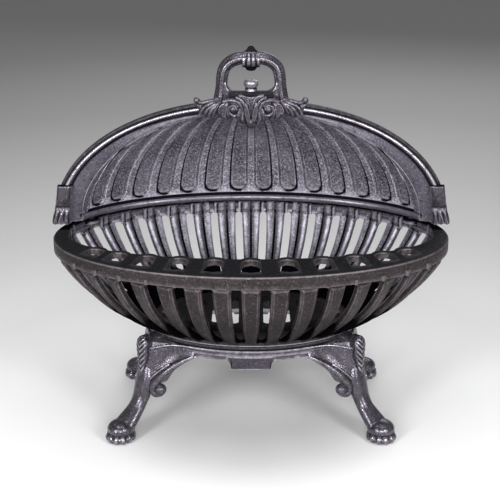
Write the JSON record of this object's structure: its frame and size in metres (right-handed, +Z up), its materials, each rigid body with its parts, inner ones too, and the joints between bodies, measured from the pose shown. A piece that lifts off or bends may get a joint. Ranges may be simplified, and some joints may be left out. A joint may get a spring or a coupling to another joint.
{
  "type": "fireplace fire basket",
  "caption": "Oval cast-iron fire basket of bowed bars on a stand with paw feet, with a ribbed domed hood that lifts off by a loop handle.",
  "frame": {"origin": "on the floor under the middle of the oval rim", "axes": "+Z up, -Y is the open front, +X to the right as seen from the front"},
  "size_m": [0.492, 0.284, 0.4528],
  "materials": {
    "rim_iron": "black-leaded, satin",
    "bar_iron": "black-leaded, worn to brown",
    "grate_iron": "rough cast",
    "stand_iron": "black-leaded, burnished",
    "hood_iron": "black-leaded, sand-cast grain",
    "fixing_steel": "dark, oxidised"
  },
  "bodies": {
    "stand": {"basket_rim": "rim_iron", "front_bars": "bar_iron", "right_bars": "bar_iron", "rear_bars": "bar_iron", "left_bars": "bar_iron", "basket_foot_ring": "bar_iron", "stand_ring": "stand_iron", "basket_bolts": "fixing_steel", "basket_nuts": "fixing_steel", "front_right_leg": "stand_iron", "front_left_leg": "stand_iron", "rear_right_leg": "stand_iron", "rear_left_leg": "stand_iron", "front_apron": "stand_iron", "rear_apron": "stand_iron", "right_apron": "stand_iron", "left_apron": "stand_iron"},
    "hood": {"hood_shell": "hood_iron", "locating_pegs": "hood_iron", "arch_moulding": "hood_iron", "right_ear": "hood_iron", "left_ear": "hood_iron", "carry_handle": "hood_iron", "handle_button": "hood_iron", "crest_leaf": "hood_iron"},
    "grate": {"bottom_grate": "grate_iron"}
  },
  "joints": [
    {"name": "hood_lift", "type": "slide", "parent": "stand", "child": "hood", "axis": [0, 0, 1], "range_m": [0, 0.2]},
    {"name": "grate_lift", "type": "slide", "parent": "stand", "child": "grate", "axis": [0, 0, 1], "range_m": [0, 0.1]}
  ]
}
